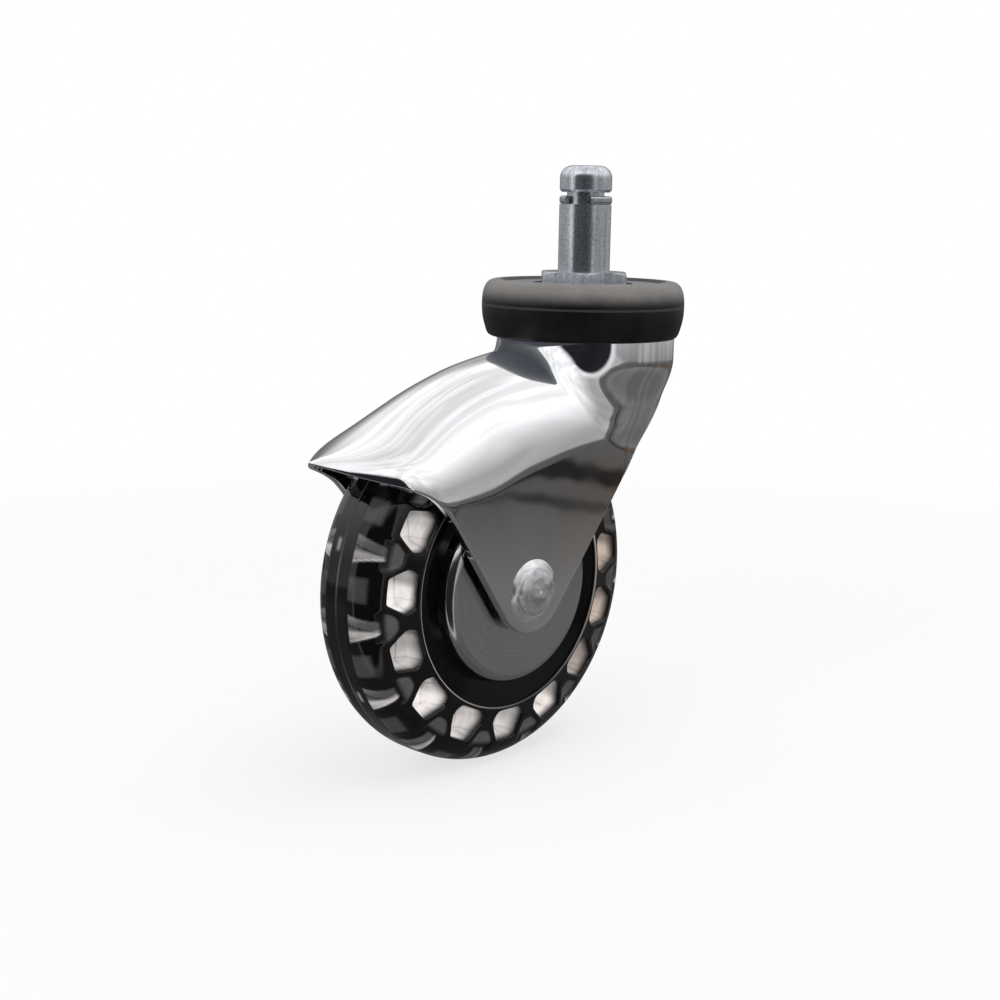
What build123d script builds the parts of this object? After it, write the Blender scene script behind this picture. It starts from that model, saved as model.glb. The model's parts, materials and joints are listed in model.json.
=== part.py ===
from build123d import *
import os
from math import cos, hypot, pi, radians, sin, sqrt

# Hooded swivel castor with a snap-in stem. Lengths are millimetres.
# The origin is on the stem's axis, at the top face of the hexagon flange.
# +Z runs up the stem, the wheel trails towards -X, and its axle lies along Y.

os.makedirs("parts", exist_ok=True)

# Snap-in stem, hexagon flange and kingpin
stem_diameter = 11.0
stem_length = 22.0
stem_nose_round = 2.6
stem_head_bevel = 0.5
snap_groove_diameter = 7.9
snap_groove_height = 2.5
snap_groove_depth_from_top = 5.5
hex_across_flats = 17.6
hex_height = 4.0
hex_turn = 45.0
hex_bevel_height = 0.7
hex_bevel_run = 1.3
kingpin_diameter = 12.0
kingpin_head_diameter = 16.0
kingpin_head_height = 1.8

# Split grip ring in the stem's groove
grip_ring_diameter = 11.1
grip_ring_thickness = 1.35
grip_ring_height = 1.75
grip_ring_round = 0.6
grip_ring_shift = 0.15
grip_gap_angle = 62.0
grip_gap_direction = 202.0

# Swivel races and their balls
ball_diameter = 4.0
ball_count = 14
ball_play = 0.05
ball_groove_depth = 0.9
race_pitch_radius = 11.5
race_plate_lip = 1.7
race_plate_thickness = 2.0
race_plate_round = 0.6
race_web_thickness = 3.6
top_plate_radius = 17.0
top_plate_level = -2.4
hex_recess_play = 0.34
kingpin_play = 0.35
washer_diameter = 20.0
washer_thickness = 1.4
washer_bevel = 0.28
washer_play = 0.03

# Dust collar around the swivel
collar_bulge = 2.7
collar_foot_wall = 1.9
collar_foot_round = 1.6
collar_race_gap = 0.6
collar_rim_width = 1.0
collar_top = -1.8
collar_seam = -7.0
collar_bottom = -13.7
collar_fit = 0.04

# Pressed hood: neck, vault and ears
neck_race_gap = 1.1
neck_wall = 2.5
neck_straight_bottom = -18.0
neck_taper_bottom = -31.0
neck_foot_inset = 0.5
neck_cavity_bottom = -22.5
neck_blend = 6.0
neck_ring_step = 0.15
neck_ring_bottom = -14.9
hood_wall = 2.0
ear_cover_gap = 1.4
ear_foot_radius = 8.8
outline_spacing = 3.0
outline_points = 24

# Along the vault: place on X, narrowing from the ears' width, crown height and springing height
vault_stations = [
    (-74.4, 15.7, -33.6, -34.6),
    (-71.0, 11.8, -32.9, -35.8),
    (-66.0, 5.6, -31.3, -37.4),
    (-60.5, 1.0, -28.9, -39.6),
    (-53.0, 0.0, -24.9, -42.6),
    (-44.0, 0.0, -20.7, -42.0),
    (-32.0, 0.0, -17.1, -38.0),
    (-16.0, 0.0, -14.8, -34.5),
    (20.0, 0.0, -14.0, -31.0),
]
vault_bottom = -44.0
visor_lip = [(-74.4, -33.6), (-67.7, -36.3), (-60.8, -38.6), (-55.5, -41.5), (-51.8, -45.6)]
rear_edge = [(-4.0, -42.3), (3.5, -33.4), (8.6, -25.6), (19.5, -20.2)]

# Axle and its place below and behind the stem
axle_trail = 30.1
wheel_top_drop = 24.4
axle_diameter = 8.0
axle_head_diameter = 12.8
axle_head_height = 2.0
axle_fit = 0.04

# Wheel
wheel_diameter = 75.0
tread_half_flat = 2.3
tread_shoulder_radius = 7.0
tyre_bore_radius = 24.9
tyre_width = 21.0
tyre_fit = 0.03
tyre_key_height = 1.5
tyre_key_half_width = 2.5
hub_rim_inset = 0.7
hub_rim_slope = 0.9
hub_web_half = 3.0
hub_boss_wall = 2.6
hub_boss_draft = 0.4
hub_rim_wall = 1.2
hub_rim_draft = 0.4
hub_shoulder_step = 1.7

# Honeycomb pockets of the tyre: height above the bore and half width of each pair of corners
pocket_count = 15
pocket_phase = 149.84
pocket_floor = 4.6
pocket_round = 1.2
inner_pocket_corners = [(0.9, 3.2), (2.9, 4.4), (7.6, 2.5)]
outer_pocket_corners = [(5.0, 1.3), (7.4, 3.0)]
outer_pocket_half_width = 3.0
tread_skin = 3.1

# Wheel covers
cover_radius = 19.6
cover_bearing_gap = 0.7
cover_sheet = 0.9
cover_edge_round = 2.0
cover_seat_depth = 1.6
cover_hole_radius = 7.0
cover_fit = 0.03

# Ball bearings of the wheel
bearing_outer_diameter = 22.0
bearing_width = 7.0
bearing_spacing = 8.0
bearing_inner_wall = 1.9
bearing_outer_wall = 1.9
bearing_ball_diameter = 3.96
bearing_ball_count = 7
bearing_play = 0.04
bearing_fit = 0.02
shield_thickness = 0.3
shield_inset = 0.4
shield_gap = 0.3
cage_half_width = 0.9
cage_web = 0.4
bush_radius = 6.2

# Heights, radii and widths worked out from the sizes above
stem_radius = stem_diameter / 2
snap_groove_top = stem_length - snap_groove_depth_from_top
snap_groove_bottom = snap_groove_top - snap_groove_height
ball_radius = ball_diameter / 2
race_gap = ball_diameter + 2 * ball_play - 2 * ball_groove_depth
upper_race_bottom = -hex_height - race_plate_thickness
neck_top = upper_race_bottom - race_gap
web_bottom = neck_top - race_web_thickness
lower_race_top = web_bottom - race_gap
lower_race_bottom = lower_race_top - race_plate_thickness
kingpin_head_top = lower_race_bottom - washer_thickness
upper_ball_height = upper_race_bottom - race_gap / 2
lower_ball_height = lower_race_top + race_gap / 2
race_plate_radius = race_pitch_radius + ball_radius + race_plate_lip
neck_radius = race_plate_radius + neck_race_gap + neck_wall
collar_radius = neck_radius + collar_bulge
collar_base_radius = neck_radius + collar_foot_wall
collar_opening_radius = top_plate_radius + collar_race_gap
hex_recess_radius = hex_across_flats / sqrt(3) + hex_recess_play
wheel_radius = wheel_diameter / 2
axle_drop = wheel_top_drop + wheel_radius
axle_radius = axle_diameter / 2
tyre_half_width = tyre_width / 2
bearing_inner_shoulder = axle_radius + bearing_inner_wall
bearing_outer_shoulder = bearing_outer_diameter / 2 - bearing_outer_wall
hub_shoulder_radius = bearing_outer_diameter / 2 - hub_shoulder_step
bearing_middle = (bearing_spacing + bearing_width) / 2
bearing_face = bearing_spacing / 2 + bearing_width
cover_face_half = bearing_face + cover_bearing_gap + cover_sheet
ear_inner = cover_face_half + ear_cover_gap
ear_outer = ear_inner + hood_wall

axle_centre = Vector(-axle_trail, 0, -axle_drop)
axle_line = Axis(axle_centre, (0, 1, 0))
wheel_section = Plane(origin=axle_centre, x_dir=(0, 1, 0), z_dir=(1, 0, 0))
wheel_side = Plane(origin=axle_centre, x_dir=(1, 0, 0), z_dir=(0, -1, 0))


def upright_plane(origin, direction):
    """An upright plane through the origin given whose x axis points in the direction, in degrees."""
    along = radians(direction)
    return Plane(origin=origin, x_dir=(cos(along), sin(along), 0), z_dir=(sin(along), -cos(along), 0))


def dome_radius(rim_radius, height):
    """Radius of the sphere whose cap has this rim and this height."""
    return (rim_radius**2 + height**2) / (2 * height)


def ring_of_balls(middle, radius, pitch_radius, count, normal):
    """Loose balls spaced evenly round an axis; they are separate solids in one node."""
    with BuildPart(Plane(origin=middle, z_dir=normal)) as balls:
        with PolarLocations(pitch_radius, count):
            Sphere(radius)
    return balls.part


# Stem: the hexagon is bevelled by a cone, and the shank, groove and kingpin are turned
with BuildPart() as stem:
    with BuildSketch(Plane.XY.offset(-hex_height)):
        RegularPolygon(hex_across_flats / 2, 6, major_radius=False, rotation=hex_turn)
    extrude(amount=hex_height)
    with BuildSketch(Plane.XZ):
        with BuildLine():
            Polyline(
                (0, 0),
                (hex_across_flats / sqrt(3) - hex_bevel_run, 0),
                (hex_across_flats / sqrt(3), -hex_bevel_height),
                (hex_across_flats / sqrt(3), -hex_height),
                (0, -hex_height),
                close=True,
            )
        make_face()
    revolve(axis=Axis.Z, mode=Mode.INTERSECT)
    with BuildSketch(Plane.XZ) as shank_section:
        with BuildLine():
            Line((0, 0), (stem_radius, 0))
            Line((stem_radius, 0), (stem_radius, snap_groove_bottom))
            Line((stem_radius, snap_groove_bottom), (snap_groove_diameter / 2, snap_groove_bottom))
            Line((snap_groove_diameter / 2, snap_groove_bottom), (snap_groove_diameter / 2, snap_groove_top))
            Line(
                (snap_groove_diameter / 2, snap_groove_top),
                (stem_radius - stem_head_bevel, snap_groove_top),
            )
            Line(
                (stem_radius - stem_head_bevel, snap_groove_top),
                (stem_radius, snap_groove_top + stem_head_bevel),
            )
            Line(
                (stem_radius, snap_groove_top + stem_head_bevel),
                (stem_radius, stem_length - stem_nose_round),
            )
            RadiusArc(
                (stem_radius, stem_length - stem_nose_round),
                (stem_radius - stem_nose_round, stem_length),
                -stem_nose_round,
            )
            Line((stem_radius - stem_nose_round, stem_length), (0, stem_length))
            Line((0, stem_length), (0, 0))
        make_face()
    revolve(axis=Axis.Z)
    with BuildSketch(Plane.XZ) as kingpin_section:
        with BuildLine():
            Line((0, -hex_height), (kingpin_diameter / 2, -hex_height))
            Line((kingpin_diameter / 2, -hex_height), (kingpin_diameter / 2, kingpin_head_top))
            Line(
                (kingpin_diameter / 2, kingpin_head_top),
                (kingpin_head_diameter / 2, kingpin_head_top),
            )
            RadiusArc(
                (kingpin_head_diameter / 2, kingpin_head_top),
                (0, kingpin_head_top - kingpin_head_height),
                dome_radius(kingpin_head_diameter / 2, kingpin_head_height),
            )
            Line((0, kingpin_head_top - kingpin_head_height), (0, -hex_height))
        make_face()
    revolve(axis=Axis.Z)
stem.part.label = "stem"
export_step(stem.part, "parts/stem.step")

# Grip ring: a split ring that lies on the lower flank of the groove, pushed a little to one side
grip_push = Vector(grip_ring_shift, 0, 0).rotate(Axis.Z, grip_gap_direction + 180)
with BuildPart() as grip_ring:
    with BuildSketch(upright_plane(grip_push, grip_gap_direction + grip_gap_angle / 2)) as ring_section:
        with Locations(
            (
                grip_ring_diameter / 2 - grip_ring_thickness / 2,
                snap_groove_bottom + grip_ring_height / 2,
            )
        ):
            Rectangle(grip_ring_thickness, grip_ring_height)
        fillet(ring_section.vertices(), radius=grip_ring_round)
    revolve(axis=Axis(grip_push, (0, 0, 1)), revolution_arc=360 - grip_gap_angle)
grip_ring.part.label = "grip_ring"
export_step(grip_ring.part, "parts/grip_ring.step")

# Upper race: a turned plate that the hexagon sinks into, with a ball groove in its lower face
with BuildPart() as upper_race:
    with BuildSketch(Plane.XY.offset(upper_race_bottom)):
        Circle(top_plate_radius)
        Circle(kingpin_diameter / 2 + washer_play, mode=Mode.SUBTRACT)
    extrude(amount=top_plate_level - upper_race_bottom)
    rim = upper_race.edges().filter_by(GeomType.CIRCLE).group_by(SortBy.RADIUS)[-1]
    fillet(rim, radius=race_plate_round)
    with BuildSketch(Plane.XY.offset(-hex_height)):
        Circle(hex_recess_radius)
    extrude(amount=hex_height, mode=Mode.SUBTRACT)
    with BuildSketch(Plane.XZ):
        with Locations((race_pitch_radius, upper_ball_height)):
            Circle(ball_radius + ball_play)
    revolve(axis=Axis.Z, mode=Mode.SUBTRACT)
upper_race.part.label = "upper_race"
export_step(upper_race.part, "parts/upper_race.step")

# Lower race: the same plate turned over, below the web of the hood's neck
with BuildPart() as lower_race:
    with BuildSketch(Plane.XY.offset(lower_race_bottom)):
        Circle(race_plate_radius)
        Circle(kingpin_diameter / 2 + washer_play, mode=Mode.SUBTRACT)
    extrude(amount=race_plate_thickness)
    rim = lower_race.edges().filter_by(GeomType.CIRCLE).group_by(SortBy.RADIUS)[-1]
    fillet(rim, radius=race_plate_round)
    with BuildSketch(Plane.XZ):
        with Locations((race_pitch_radius, lower_ball_height)):
            Circle(ball_radius + ball_play)
    revolve(axis=Axis.Z, mode=Mode.SUBTRACT)
lower_race.part.label = "lower_race"
export_step(lower_race.part, "parts/lower_race.step")

# Washer between the lower race and the riveted head of the kingpin
with BuildPart() as kingpin_washer:
    with BuildSketch(Plane.XY.offset(kingpin_head_top)):
        Circle(washer_diameter / 2)
        Circle(kingpin_diameter / 2 + washer_play, mode=Mode.SUBTRACT)
    extrude(amount=washer_thickness)
    rim = kingpin_washer.edges().filter_by(GeomType.CIRCLE).group_by(SortBy.RADIUS)[-1]
    chamfer(rim, length=washer_bevel)
kingpin_washer.part.label = "kingpin_washer"
export_step(kingpin_washer.part, "parts/kingpin_washer.step")

# Two rings of swivel balls
upper_balls = ring_of_balls((0, 0, upper_ball_height), ball_radius, race_pitch_radius, ball_count, (0, 0, 1))
upper_balls.label = "upper_balls"
export_step(upper_balls, "parts/upper_balls.step")
lower_balls = ring_of_balls((0, 0, lower_ball_height), ball_radius, race_pitch_radius, ball_count, (0, 0, 1))
lower_balls.label = "lower_balls"
export_step(lower_balls, "parts/lower_balls.step")

# Dust collar: a moulded ring that sits on the shoulder of the neck
with BuildPart() as collar:
    with BuildSketch(Plane.XZ):
        with BuildLine():
            Line((collar_opening_radius, collar_top), (collar_opening_radius + collar_rim_width, collar_top))
            Spline(
                (collar_opening_radius + collar_rim_width, collar_top),
                (collar_radius, collar_seam),
                tangents=[(1, 0), (0, -1)],
                tangent_scalars=[1.25, 1.25],
            )
            Spline(
                (collar_radius, collar_seam),
                (collar_base_radius, collar_bottom + collar_foot_round),
                (collar_base_radius - collar_foot_round, collar_bottom),
                tangents=[(0, -1), (-1, 0)],
            )
            Line((collar_base_radius - collar_foot_round, collar_bottom), (neck_radius + collar_fit, collar_bottom))
            Line((neck_radius + collar_fit, collar_bottom), (neck_radius + collar_fit, neck_top))
            Line((neck_radius + collar_fit, neck_top), (collar_opening_radius, neck_top))
            Line((collar_opening_radius, neck_top), (collar_opening_radius, collar_top))
        make_face()
    revolve(axis=Axis.Z)
collar.part.label = "collar"
export_step(collar.part, "parts/collar.step")


def eased(before, start, end, after, share, column):
    """Smooth value between two stations, with a slope that never overshoots them."""
    run = end[0] - start[0]
    slope = (end[column] - start[column]) / run
    slope_in = (start[column] - before[column]) / (start[0] - before[0]) if before is not start else slope
    slope_out = (after[column] - end[column]) / (after[0] - end[0]) if after is not end else slope
    first = 0 if slope_in * slope <= 0 else 2 * slope_in * slope / (slope_in + slope)
    last = 0 if slope_out * slope <= 0 else 2 * slope_out * slope / (slope_out + slope)
    return (
        (2 * share**3 - 3 * share**2 + 1) * start[column]
        + (share**3 - 2 * share**2 + share) * run * first
        + (3 * share**2 - 2 * share**3) * end[column]
        + (share**3 - share**2) * run * last
    )


def vault_arch(x):
    """Half width, crown height and springing height of the vault at a place on X."""
    x = min(max(x, vault_stations[0][0]), vault_stations[-1][0])
    last = len(vault_stations) - 1
    index = min(max(i for i in range(last + 1) if vault_stations[i][0] <= x), last - 1)
    start, end = vault_stations[index], vault_stations[index + 1]
    before, after = vault_stations[max(index - 1, 0)], vault_stations[min(index + 2, last)]
    share = (x - start[0]) / (end[0] - start[0])
    narrowing, crown, springing = (eased(before, start, end, after, share, column) for column in (1, 2, 3))
    return max(ear_outer - narrowing, 0.3), crown, springing


def hood_skin_distance(x, y, z):
    """How far a point lies outside the hood's outer skin; below zero it is inside.

    The vault is an elliptical arch on upright walls, the neck is a round column that narrows
    towards its foot, and the two run into each other with a soft fillet.
    """
    half_width, crown, springing = vault_arch(x)
    vault = (hypot(y / half_width, max(z - springing, 0) / (crown - springing)) - 1) * half_width
    vault = max(vault, vault_stations[0][0] - x)
    column_radius = neck_radius - neck_ring_step
    column = hypot(x, y) - column_radius
    if z >= collar_bottom:
        return column
    share = min(max((neck_straight_bottom - z) / (neck_straight_bottom - neck_taper_bottom), 0), 1)
    taper = (column_radius - ear_outer + neck_foot_inset) * share**2 * (3 - 2 * share) + max(neck_taper_bottom - z, 0)
    neck = column + taper
    overlap = max(neck_blend - abs(vault - neck), 0) / neck_blend
    skin = min(vault, neck) - overlap**2 * neck_blend / 4
    return max(skin, column) if x > 0 else skin


def skin_crossing(middle, run, side_step, height, inset):
    """Where a level line from (middle, 0) crosses the skin, moved inwards by the inset."""
    near, far = 0.0, 1.0
    while hood_skin_distance(middle + run * far, side_step * far, height) < -inset:
        far *= 1.2
    for _ in range(36):
        half_way = (near + far) / 2
        inside = hood_skin_distance(middle + run * half_way, side_step * half_way, height) < -inset
        near, far = (half_way, far) if inside else (near, half_way)
    return (middle + run * far, side_step * far)


def hood_core(top, inset):
    """Solid inside the skin, lofted through level outlines and carried straight down as ears."""
    count = int((top - vault_bottom) / outline_spacing) + 1
    with BuildPart() as core:
        for step in range(count + 1):
            height = top + (vault_bottom - top) * step / count
            front = skin_crossing(0, -neck_radius, 0, height, inset)[0]
            rear = skin_crossing(0, neck_radius, 0, height, inset)[0]
            middle, reach = (front + rear) / 2, (rear - front) / 2
            turns = [2 * pi * k / outline_points for k in range(outline_points)]
            outline = [
                skin_crossing(middle, reach * cos(turn), ear_outer * sin(turn), height, inset) for turn in turns
            ]
            with BuildSketch(Plane.XY.offset(height)):
                with BuildLine():
                    Spline(outline, periodic=True)
                make_face()
        loft()
        extrude(core.faces().sort_by(Axis.Z)[0], amount=axle_drop + 2 * ear_foot_radius + vault_bottom)
    return core.part


# Hood: neck, vault and ears in one wall, cut to its side outline
hood_outside = hood_core(collar_bottom, 0)
hood_hollow = hood_core(collar_bottom - hood_wall, hood_wall)
with BuildPart() as hood:
    add(hood_outside)
    with BuildSketch(Plane.XZ) as side_outline:
        with BuildLine():
            tip_level = visor_lip[0][1]
            far_left = visor_lip[0][0] - 2 * hood_wall
            far_right = neck_radius + 2 * hood_wall
            Polyline(
                visor_lip[0], (far_left, tip_level), (far_left, 0), (far_right, 0),
                (far_right, rear_edge[-1][1]), rear_edge[-1],
            )
            Spline(rear_edge[::-1])
            foot = CenterArc((-axle_trail, -axle_drop), ear_foot_radius, 212, 112)
            Line(rear_edge[0], foot @ 1)
            Line(visor_lip[-1], foot @ 0)
            Spline(visor_lip)
        make_face()
    extrude(amount=neck_radius + hood_wall, both=True, mode=Mode.INTERSECT)
    add(hood_hollow, mode=Mode.SUBTRACT)
    with BuildSketch(Plane.XY.offset(neck_ring_bottom)):
        Circle(neck_radius)
    extrude(amount=neck_top - neck_ring_bottom)
    with BuildSketch(Plane.XY.offset(neck_cavity_bottom)):
        Circle(neck_radius - neck_wall)
    extrude(amount=web_bottom - neck_cavity_bottom, mode=Mode.SUBTRACT)
    with BuildSketch(Plane.XY.offset(web_bottom)):
        Circle(kingpin_diameter / 2 + kingpin_play)
    extrude(amount=race_web_thickness, mode=Mode.SUBTRACT)
    with BuildSketch(Plane.XZ):
        with Locations((race_pitch_radius, upper_ball_height), (race_pitch_radius, lower_ball_height)):
            Circle(ball_radius + ball_play)
    revolve(axis=Axis.Z, mode=Mode.SUBTRACT)
    with BuildSketch(wheel_side):
        Circle(axle_radius + axle_fit)
    extrude(amount=ear_outer + hood_wall, both=True, mode=Mode.SUBTRACT)
    with BuildSketch(wheel_side.offset(ear_outer), wheel_side.offset(-ear_outer - hood_wall)):
        Circle(axle_head_diameter / 2 + hood_wall)
    extrude(amount=hood_wall, mode=Mode.SUBTRACT)
    with BuildSketch(wheel_side.offset(-ear_inner)):
        Circle(bush_radius + hood_wall)
    extrude(amount=2 * ear_inner, mode=Mode.SUBTRACT)
hood.part.label = "hood"
export_step(hood.part, "parts/hood.step")

# Axle rivet: one pin with a domed head formed at each end
with BuildPart() as axle_rivet:
    with BuildSketch(wheel_section):
        with BuildLine():
            Line((0, 0), (0, axle_radius))
            Line((0, axle_radius), (ear_outer, axle_radius))
            Line((ear_outer, axle_radius), (ear_outer, axle_head_diameter / 2))
            RadiusArc(
                (ear_outer, axle_head_diameter / 2),
                (ear_outer + axle_head_height, 0),
                dome_radius(axle_head_diameter / 2, axle_head_height),
            )
            Line((ear_outer + axle_head_height, 0), (0, 0))
        make_face()
    revolve(axis=axle_line)
    mirror(about=Plane.XZ)
axle_rivet.part.label = "axle_rivet"
export_step(axle_rivet.part, "parts/axle_rivet.step")

# Hub: rim, web and boss moulded in one, with a seat for each bearing and each cover
hub_rim_radius = tyre_bore_radius - tyre_fit
hub_edge = tyre_half_width - hub_rim_inset
cover_seat = hub_edge - hub_rim_slope - cover_seat_depth
boss_radius = bearing_outer_diameter / 2 + hub_boss_wall
with BuildPart() as hub:
    with BuildSketch(wheel_section):
        with BuildLine():
            Polyline(
                (0, hub_shoulder_radius),
                (bearing_spacing / 2, hub_shoulder_radius),
                (bearing_spacing / 2, bearing_outer_diameter / 2 + bearing_fit),
                (bearing_face, bearing_outer_diameter / 2 + bearing_fit),
                (bearing_face, boss_radius - hub_boss_draft),
                (hub_web_half, boss_radius),
                (hub_web_half, cover_radius - cover_sheet - hub_rim_wall - hub_rim_draft),
                (cover_seat, cover_radius - cover_sheet - hub_rim_wall),
                (cover_seat, cover_radius + cover_fit),
                (hub_edge - hub_rim_slope, cover_radius + cover_fit),
                (hub_edge, hub_rim_radius),
                (tyre_key_half_width, hub_rim_radius),
                (tyre_key_half_width, hub_rim_radius + tyre_key_height),
                (0, hub_rim_radius + tyre_key_height),
                close=True,
            )
        make_face()
    revolve(axis=axle_line)
    mirror(about=Plane.XZ)
hub.part.label = "hub"
export_step(hub.part, "parts/hub.step")

# Tyre: a clear moulding with two staggered rows of pockets in each flank
shoulder_end = tread_half_flat + tread_shoulder_radius
shoulder_height = wheel_radius - tread_shoulder_radius
inner_row = [(tyre_bore_radius + height, half) for height, half in inner_pocket_corners]
outer_row = [(tyre_bore_radius + height, half) for height, half in outer_pocket_corners]
outer_row.append((wheel_radius - tread_skin, outer_pocket_half_width))
with BuildPart() as tyre:
    with BuildSketch(Plane(origin=axle_centre, x_dir=(0, -1, 0), z_dir=(-1, 0, 0))):
        with BuildLine():
            Line((0, wheel_radius), (tread_half_flat, wheel_radius))
            RadiusArc((tread_half_flat, wheel_radius), (shoulder_end, shoulder_height), tread_shoulder_radius)
            Line((shoulder_end, shoulder_height), (tyre_half_width, tyre_bore_radius))
            Polyline(
                (tyre_half_width, tyre_bore_radius),
                (tyre_key_half_width + tyre_fit, tyre_bore_radius),
                (tyre_key_half_width + tyre_fit, tyre_bore_radius + tyre_key_height),
                (0, tyre_bore_radius + tyre_key_height),
                (0, wheel_radius),
            )
        make_face()
    revolve(axis=axle_line)
    for row, turn in ((inner_row, 0), (outer_row, 180 / pocket_count)):
        with BuildSketch() as pocket:
            Polygon(*row, *[(radius, -half) for radius, half in row[::-1]], align=None)
            fillet(pocket.vertices(), radius=pocket_round)
        with BuildSketch(wheel_side.offset(pocket_floor)):
            with PolarLocations(0, pocket_count, start_angle=pocket_phase + turn):
                add(pocket.sketch)
        extrude(amount=tyre_half_width, mode=Mode.SUBTRACT)
    mirror(about=Plane.XZ)
tyre.part.label = "tyre"
export_step(tyre.part, "parts/tyre.step")

# What the wheel has twice, once on each side
for side_name, side in (("left", 1), ("right", -1)):
    outward = (0, side, 0)
    side_section = Plane(origin=axle_centre, x_dir=outward, z_dir=(side, 0, 0))

    # Pressed cover with a rounded rim, seated in the hub
    with BuildPart() as cover:
        with BuildSketch(side_section):
            with BuildLine() as cover_line:
                Line((cover_seat, cover_radius), (cover_face_half - cover_edge_round, cover_radius))
                RadiusArc(
                    (cover_face_half - cover_edge_round, cover_radius),
                    (cover_face_half, cover_radius - cover_edge_round),
                    cover_edge_round,
                )
                Line((cover_face_half, cover_radius - cover_edge_round), (cover_face_half, cover_hole_radius))
                offset(amount=cover_sheet, side=Side.RIGHT, closed=True)
            make_face()
        revolve(axis=axle_line)
    cover.part.label = f"{side_name}_cover"
    export_step(cover.part, f"parts/{side_name}_cover.step")

    # Bearing rings, with a groove for the balls in each
    with BuildPart() as outer_ring:
        with BuildSketch(side_section):
            with Locations((bearing_middle, (bearing_outer_diameter / 2 + bearing_outer_shoulder) / 2)):
                Rectangle(bearing_width, bearing_outer_diameter / 2 - bearing_outer_shoulder)
            with Locations((bearing_middle, (bearing_inner_shoulder + bearing_outer_shoulder) / 2)):
                Circle(bearing_ball_diameter / 2 + bearing_play, mode=Mode.SUBTRACT)
        revolve(axis=axle_line)
    outer_ring.part.label = f"{side_name}_bearing_outer_ring"
    export_step(outer_ring.part, f"parts/{side_name}_bearing_outer_ring.step")

    with BuildPart() as inner_ring:
        with BuildSketch(side_section):
            with Locations((bearing_middle, (bearing_inner_shoulder + axle_radius + axle_fit) / 2)):
                Rectangle(bearing_width, bearing_inner_shoulder - axle_radius - axle_fit)
            with Locations((bearing_middle, (bearing_inner_shoulder + bearing_outer_shoulder) / 2)):
                Circle(bearing_ball_diameter / 2 + bearing_play, mode=Mode.SUBTRACT)
        revolve(axis=axle_line)
    inner_ring.part.label = f"{side_name}_bearing_inner_ring"
    export_step(inner_ring.part, f"parts/{side_name}_bearing_inner_ring.step")

    bearing_centre = axle_centre + Vector(0, side * bearing_middle, 0)
    bearing_pitch = (bearing_inner_shoulder + bearing_outer_shoulder) / 2
    balls = ring_of_balls(
        bearing_centre, bearing_ball_diameter / 2, bearing_pitch, bearing_ball_count, outward
    )
    balls.label = f"{side_name}_bearing_balls"
    export_step(balls, f"parts/{side_name}_bearing_balls.step")

    # Crown cage: a ring behind the balls with a round pocket for each of them
    with BuildPart(Plane(origin=bearing_centre, z_dir=outward)) as cage:
        with BuildSketch(Plane(origin=bearing_centre, z_dir=outward)):
            Circle(bearing_pitch + cage_half_width)
            Circle(bearing_pitch - cage_half_width, mode=Mode.SUBTRACT)
        extrude(amount=bearing_ball_diameter / 2 + bearing_play + cage_web)
        with PolarLocations(bearing_pitch, bearing_ball_count):
            Sphere(bearing_ball_diameter / 2 + bearing_play, mode=Mode.SUBTRACT)
    cage.part.label = f"{side_name}_bearing_cage"
    export_step(cage.part, f"parts/{side_name}_bearing_cage.step")

    # Thin shields that close the gap between the rings on both faces of the bearing
    for face_name, direction in (("outer", 1), ("inner", -1)):
        shield_middle = bearing_middle + direction * (bearing_width / 2 - shield_inset - shield_thickness / 2)
        with BuildPart() as shield:
            with BuildSketch(side_section):
                shield_inner = bearing_inner_shoulder + shield_gap
                shield_outer = bearing_outer_shoulder - bearing_fit
                with Locations((shield_middle, (shield_inner + shield_outer) / 2)):
                    Rectangle(shield_thickness, shield_outer - shield_inner)
            revolve(axis=axle_line)
        shield.part.label = f"{side_name}_{face_name}_shield"
        export_step(shield.part, f"parts/{side_name}_{face_name}_shield.step")

    # Bush between the inner ring and the ear
    with BuildPart() as ear_bush:
        with BuildSketch(side_section):
            with Locations(((bearing_face + ear_inner) / 2, (bush_radius + axle_radius + axle_fit) / 2)):
                Rectangle(ear_inner - bearing_face, bush_radius - axle_radius - axle_fit)
        revolve(axis=axle_line)
    ear_bush.part.label = f"{side_name}_ear_bush"
    export_step(ear_bush.part, f"parts/{side_name}_ear_bush.step")

# Sleeve that keeps the two inner rings apart
with BuildPart() as spacer_sleeve:
    with BuildSketch(wheel_section):
        with Locations((0, (bearing_inner_shoulder + axle_radius + axle_fit) / 2)):
            Rectangle(bearing_spacing, bearing_inner_shoulder - axle_radius - axle_fit)
    revolve(axis=axle_line)
spacer_sleeve.part.label = "spacer_sleeve"
export_step(spacer_sleeve.part, "parts/spacer_sleeve.step")
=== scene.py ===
import json

import bpy
import numpy as np
from mathutils import Matrix


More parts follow.
